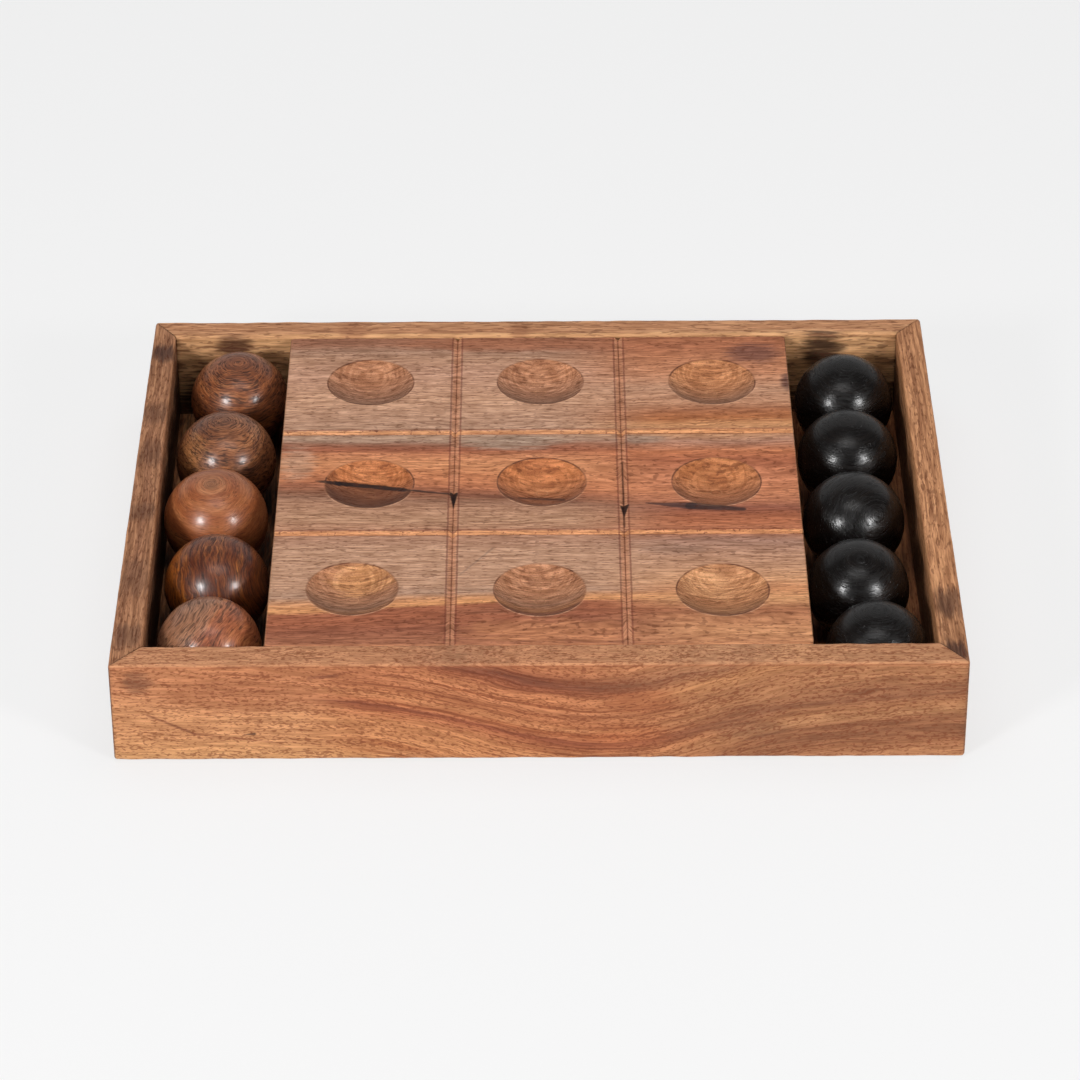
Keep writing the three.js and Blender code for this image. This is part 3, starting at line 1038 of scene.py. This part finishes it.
def board_material():
    wood, color, deep = board_wood()
    x, y, _ = wood.place
    long_way, cross_way = groove_masks(wood)
    speckle = wood.grit(0.8)
    fray = wood.mul(wood.sub(speckle, 0.5), 0.6)
    patchy = wood.fade(wood.grit(0.08), 0.42, 0.56)

    radius = wood.add(wood.mask("radius"), wood.mul(fray, 0.35))
    ahead = wood.mask("ahead")
    inside = wood.fade(radius, well_rim - 0.4, well_rim + 0.1, 1.0, 0.0)
    warm = wood.blend(wood.fade(wood.absolute(y), 25, 50), srgb("#b46a36"), srgb("#b47850"))
    warm = wood.blend(wood.fade(x, 30, 55, 0.0, 0.4), warm, srgb("#d6a068"))
    # Painted shade: each well's near side is painted dark, fading to its warm colour on the far
    # side.
    painted_well_shade = wood.blend(wood.fade(ahead, -14, 12), srgb("#5f4030"), warm)
    color = wood.blend(wood.mul(inside, 0.62), color, painted_well_shade)
    # Painted light on the far sides of the two outer wells in the front row.
    painted_far_light = paint_patches(wood, color, spots(
        2, (-64, -60, 14, 8, "#d8a268", 0.5), (60, -63, 12, 8, "#d0a074", 0.4)))
    color = wood.blend(inside, color, painted_far_light)
    contours = wood.layers(1.1, 14, 0.0, wood.add(wood.level, wood.mul(deep, 2.6)))
    ringed = wood.shade(color, contours, (0.85, 0.78, 0.72), 1.06, 0.4, 0.58)
    color = wood.blend(inside, color, ringed)
    dots = wood.fade(wood.grit(1.9), 0.56, 0.64, 0.0, 0.4)
    color = wood.stain_and_painted_light(color, dots, inside, "#6a3c24")
    rim = ring_line(wood, radius, well_rim, 0.32)
    rim = wood.mul(rim, wood.math("MAXIMUM", patchy, 0.35))
    color = wood.stain_and_painted_light(color, rim, 0.95, "#5c2a1a")
    # Painted highlight: a pale line along each well's near lip.
    painted_lip_highlight = ring_line(wood, radius, well_rim + 0.5, 0.25)
    color = wood.stain_and_painted_light(color, painted_lip_highlight, wood.fade(ahead, -4, -13, 0.0, 0.5), "#d6ab8c")
    color = wood.stain_and_painted_light(color, ring_line(wood, radius, 2.1, 0.3), 0.15, "#d8a878")

    # Painted light: the grooves' slopes are painted paler, the crosswise ones most.
    for off, half, code, strength in (
            (long_way, 1.2, "#cc9676", 0.65), (cross_way, 1.3, "#d09464", 0.8)):
        slope = wood.fade(wood.add(off, fray), half, 1.7, 1.0, 0.0)
        color = wood.stain_and_painted_light(color, slope, strength, code)
    for off, middle, half, code, strength in (
            (long_way, 1.9, 0.35, "#763a28", 0.6), (long_way, 0.0, 0.3, "#7a4832", 0.45),
            (cross_way, 1.85, 0.3, "#84462e", 0.6), (cross_way, 0.0, 0.25, "#a2603c", 0.4)):
        line = ring_line(wood, wood.add(off, fray), middle, half)
        color = wood.stain_and_painted_light(color, line, strength, code)
    pit = wood.mul(wood.fade(cross_way, 1.2, 2.2, 1.0, 0.0), wood.fade(speckle, 0.62, 0.7))
    color = wood.stain_and_painted_light(color, pit, 0.7, "#6a3422")

    flat_y = wood.sub(y, wood.mul(deep, dip))
    # Painted shadow: the middle left well is painted dark below the split that crosses it.
    below = wood.add(flat_y, wood.mul(wood.add(x, 82.0), 0.186))
    painted_split_shadow = wood.mul(wood.fade(below, 0.5, 2.0, 1.0, 0.0), wood.fade(x, -40, -36, 1.0, 0.0))
    painted_split_shadow = wood.mul(painted_split_shadow, wood.mul(inside, wood.fade(flat_y, -26, -22)))
    color = wood.stain_and_painted_light(color, painted_split_shadow, 0.65, "#4e2f22")
    color = paint_strokes(wood, color, x, flat_y, board_marks)
    side_shade = wood.fade(wood.absolute(x), board_edge - 0.55, board_edge - 0.05)
    color = wood.stain_and_painted_light(color, side_shade, 0.8, "#2a180f")
    return wood_surface(wood, color, 0.5, (1.8, 22), (0.9, 7), (3.0, 0.9, 0.42), banding=0.6,
                        contrast=0.95, pore_share=0.45)


piece("playing_board_oiled", board_mesh(), board_material(), "tray",
      "playing_board")


# ---- balls -----------------------------------------------------------------------------

def ball_mesh(name, radius, salt, turn):
    """A ball turned between centres: nearly round, with a small sanded disc at each pole."""
    stand = turn.to_matrix()
    skin = Skin()
    turns, steps = 96, 72
    disc_angle = 0.16  # the disc's half angle at the pole, in radians
    rows = []
    for i in range(steps + 1):
        angle = math.pi * i / steps
        row = []
        for j in range(turns):
            around = 2 * math.pi * j / turns
            out = Vector((math.sin(angle) * math.cos(around),
                          math.sin(angle) * math.sin(around), math.cos(angle)))
            pole = min(angle, math.pi - angle)
            flat = 0.10 * MM * math.exp(-(pole / disc_angle) ** 4)
            ring = 0.03 * MM * math.exp(-((pole - disc_angle - 0.01) / 0.03) ** 2)
            uneven = 0.10 * MM * ripple_at(out, 1.3, salt)
            reach = radius - 0.1 * MM - flat - ring + uneven
            row.append(skin.point(stand @ (out * reach)))
        rows.append(row)
    skin.sheet(rows, closed=True)
    return skin.finished(name, 60)


def ball_wood(name, seed, radius, turn, stops, patches, **surface):
    """Ball wood whose layers ring the pole that lies on the turning axis."""
    wood = Wood(name, tuple(turn), seed)
    x, y, z = wood.place = wood.turned
    from_pole = wood.sub(z, radius / MM)
    distance = wood.math("SQRT", wood.square_sum(x, y, from_pole))
    sway = wood.mul(wood.grit(0.08, 1.0), 5.0)
    wood.level = wood.add(wood.add(distance, sway), level_shift * seed)
    wood.w = wood.mul(y, 0.12)
    tone = wood.add(wood.mul(wood.layers(5, 30), 0.6), wood.mul(wood.layers(0.9, 9), 0.4))
    color = wood.ramp(tone, stops, 0.3, 0.7)
    color = paint_patches(wood, color, patches)
    return wood_surface(wood, color, **surface)


brown_stops = [
    [(0.32, "#54301c"), (0.45, "#744226"), (0.55, "#864f2e"), (0.68, "#9e663e")],
    [(0.32, "#543120"), (0.45, "#74472c"), (0.55, "#8c5938"), (0.68, "#a8744e")],
    [(0.32, "#7c4222"), (0.45, "#92522e"), (0.55, "#a06038"), (0.68, "#ae7148")],
    [(0.32, "#38180a"), (0.45, "#5c2c14"), (0.55, "#74401e"), (0.68, "#a0662c")],
    [(0.32, "#7a4529"), (0.45, "#965638"), (0.55, "#ab6941"), (0.68, "#bc8056")],
]
black_stops = [(0.32, "#090706"), (0.5, "#0f0c0b"), (0.68, "#181310")]

eye = ((0, 0, 18), (3.2, 3.2, 3), "#4e3020", 0.45)
halo = ((0, 0, 17), (7, 7, 4), "#c08c64", 0.4)
brown_patches = [
    [],
    [((6, -12, 8), (10, 8, 9), "#a8784a", 0.45), eye],
    [halo, eye],
    [((None, None, -14), (None, None, 8), "#a05c1c", 0.5)],
    [((None, None, 14), (None, None, 9), "#8a6a54", 0.7)],
]
figure_parts = ("streak", "fibre", "pore", "contrast", "banding", "pore_share")
brown_figures = [
    ((0.8, 9), (0.36, 2.6), (2.0, 0.6, 0.52), 1.6, 0.6, 0.7),
    ((0.8, 6), (0.36, 1.8), (1.6, 0.6, 0.55), 1.6, 0.5, 0.7),
    ((1.2, 12), (0.36, 2.2), (1.2, 0.5, 0.34), 0.9, 0.3, 0.35),
    ((0.6, 14), (0.34, 5.0), (3.0, 0.55, 0.45), 1.7, 0.8, 0.6),
    ((0.8, 8), (0.4, 2.6), (2.4, 0.7, 0.5), 1.3, 0.4, 0.6),
]

brown_finish = {"roughness": 0.38, "gloss": 0.4, "shine": 0.45, "pore_code": "#27120a"}
black_look = {
    "roughness": 0.28, "gloss": 0.2, "shine": 0.38, "pore_code": "#050404", "relief": 0.12,
    "streak": (1.0, 14), "fibre": (0.42, 3.5), "pore": (2.2, 0.7, 0.4),
    "contrast": 0.5, "banding": 0.4,
}

# Which way each ball's turning axis points: azimuth from +X, and height above the table.
brown_axes = [(-88, 82), (-80, 86), (-100, 78), (-5, 15), (165, 35)]
black_axes = [(-88, 80), (-95, 84), (-60, 36), (-90, 70), (-88, 88)]


def axis_turn(azimuth, elevation):
    """The rotation that lays +Z along an axis."""
    return Euler((0, math.radians(90 - elevation), math.radians(azimuth)))


def make_ball(node, seed, axis, stops, patches, look):
    """A polished ball in place of a CAD one, which is its own body."""
    low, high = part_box(node)
    radius = (high.z - low.z) / 2
    turn = axis_turn(*axis)
    piece(node + "_polished",
          ball_mesh(node + "_shape", radius, seed, turn),
          ball_wood(node + "_wood", seed, radius, turn, stops, patches, **look),
          node, node, (low + high) / 2)


for i in range(5):
    seed = 5.3 + 1.7 * i
    brown_look = brown_finish | dict(zip(figure_parts, brown_figures[i]))
    make_ball(f"brown_ball_{i + 1}", seed, brown_axes[i], brown_stops[i], brown_patches[i],
              brown_look)
    make_ball(f"black_ball_{i + 1}", seed + 20, black_axes[i], black_stops, (),
              black_look)


# ---- base panel, battens, splines and screws -------------------------------------------

def plain_wood(name, seed, grain, stops, patches=()):
    wood = Wood(name, grain, seed)
    color = wood.ramp(wood.layers(6, 200), stops, 0.2, 0.8)
    color = paint_patches(wood, color, patches)
    return wood_surface(wood, color, 0.62)


def plank_mesh(name, low, high, salt):
    """A sawn plank with eased edges and slightly wavy faces."""
    work = bmesh.new()
    bmesh.ops.create_cube(work, size=1)
    size = high - low
    middle = (low + high) / 2
    for vert in work.verts:
        vert.co = Vector(a * b for a, b in zip(vert.co, size)) + middle
    ease = min(size) * 0.12
    bmesh.ops.bevel(work, geom=list(work.edges), offset=ease, segments=3, profile=0.5,
                    affect="EDGES")
    long_edges = [e for e in work.edges if e.calc_length() > 6 * MM]
    bmesh.ops.subdivide_edges(work, edges=long_edges, cuts=24, use_grid_fill=True)
    for vert in work.verts:
        vert.co.z += 0.08 * MM * ripple_at(vert.co, 18 * MM, salt) * (1 if vert.co.z > 0.002 else 0)
    mesh = bpy.data.meshes.new(name)
    work.to_mesh(mesh)
    work.free()
    for mask in ("wear", "grime"):
        mesh.attributes.new(mask, "FLOAT", "POINT")
    tidy_mesh(mesh)
    return mesh


panel_stops = [(0.22, "#6a4226"), (0.45, "#845434"), (0.6, "#966440"), (0.78, "#a6764e")]
# The base panel's floor in the left trough is painted near black: painted shadow.
piece("base_panel_sanded", plank_mesh("base_panel_shape", floor_low, floor_high, 2),
      plain_wood("base_panel_wood", 7.7, (0, 0, quarter), panel_stops,
                 [((-118, None, None), (26, None, None), "#120a07", 0.92)]),
      "tray", "base_panel")
for i, node in enumerate(("left_batten", "centre_batten", "right_batten")):
    piece(node + "_sawn", plank_mesh(node + "_shape", *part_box(node), 3 + i),
          plain_wood(node + "_wood", 8.1 + i, (0, 0, quarter), panel_stops),
          "tray", node)


def screw_material():
    steel = Shader("screw_zinc")
    place = steel.node("ShaderNodeTexCoord").outputs["Object"]
    grain = steel.noise(place, 1800, 3.0)
    tint = steel.ramp(grain, [(0.3, "#8d8c88"), (0.5, "#a9a8a3"), (0.7, "#bab6ad")], 0.2, 0.8)
    rough = steel.fade(grain, 0.3, 0.7, 0.3, 0.5)
    return steel.finish(tint, rough, steel.bump(grain, 0.02 * MM), Metallic=1.0)


zinc = screw_material()
spline_wood = plain_wood("spline_wood", 9.9, (0, 0, 0), panel_stops)
for node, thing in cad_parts.items():
    for family, material, slot in (
            ("board_screw", zinc, "screw_steel"), ("mitre_spline", spline_wood, "hidden_wood")):
        if node.startswith(family):
            thing.data.materials.clear()
            thing.data.materials.append(material)


# ---- floor and backdrop ----------------------------------------------------------------

def glowing_shader(name):
    """A shader to finish, and its plain white glow."""
    shader = Shader(name)
    glow = shader.node("ShaderNodeEmission", {"Color": (1, 1, 1, 1), "Strength": 0.69})
    return shader, glow.outputs[0]


def stage_object(name, points, faces, shader):
    """A plain object that only surrounds the set."""
    mesh = bpy.data.meshes.new(name)
    mesh.from_pydata(points, [], faces)
    mesh.materials.append(shader.material)
    return new_object(name, mesh)


floor_shader, floor_glow = glowing_shader("floor")
matt = floor_shader.node("ShaderNodeBsdfDiffuse", {"Color": (0.2, 0.2, 0.2, 1)}).outputs[0]
both = floor_shader.node("ShaderNodeAddShader", {0: floor_glow, 1: matt}).outputs[0]
floor_shader.node("ShaderNodeOutputMaterial", {0: both})
reach = 6.0
floor_points = [(x * reach, y * reach, 0) for x, y in ((-1, -1), (1, -1), (1, 1), (-1, 1))]
floor = stage_object("floor", floor_points, [(0, 1, 2, 3)], floor_shader)
floor.location.z = -0.3 * MM

# A pale wall far behind the floor, which lights nothing and only fills the view above it.
wall_shader, wall_glow = glowing_shader("backdrop")
wall_shader.node("ShaderNodeOutputMaterial", {0: wall_glow})
wall_radius = 5.8
wall_height = 6.0
wall_turns = 64
wall_points = []
wall_faces = []
for i in range(wall_turns):
    angle = 2 * math.pi * i / wall_turns
    for z in (-0.01, wall_height):
        wall_points.append((wall_radius * math.cos(angle), wall_radius * math.sin(angle), z))
    a, b = 2 * i, 2 * ((i + 1) % wall_turns)
    wall_faces.append((a, b, b + 1, a + 1))
wall = stage_object("backdrop", wall_points, wall_faces, wall_shader)
wall.visible_diffuse = False
wall.visible_glossy = False
wall.visible_shadow = False
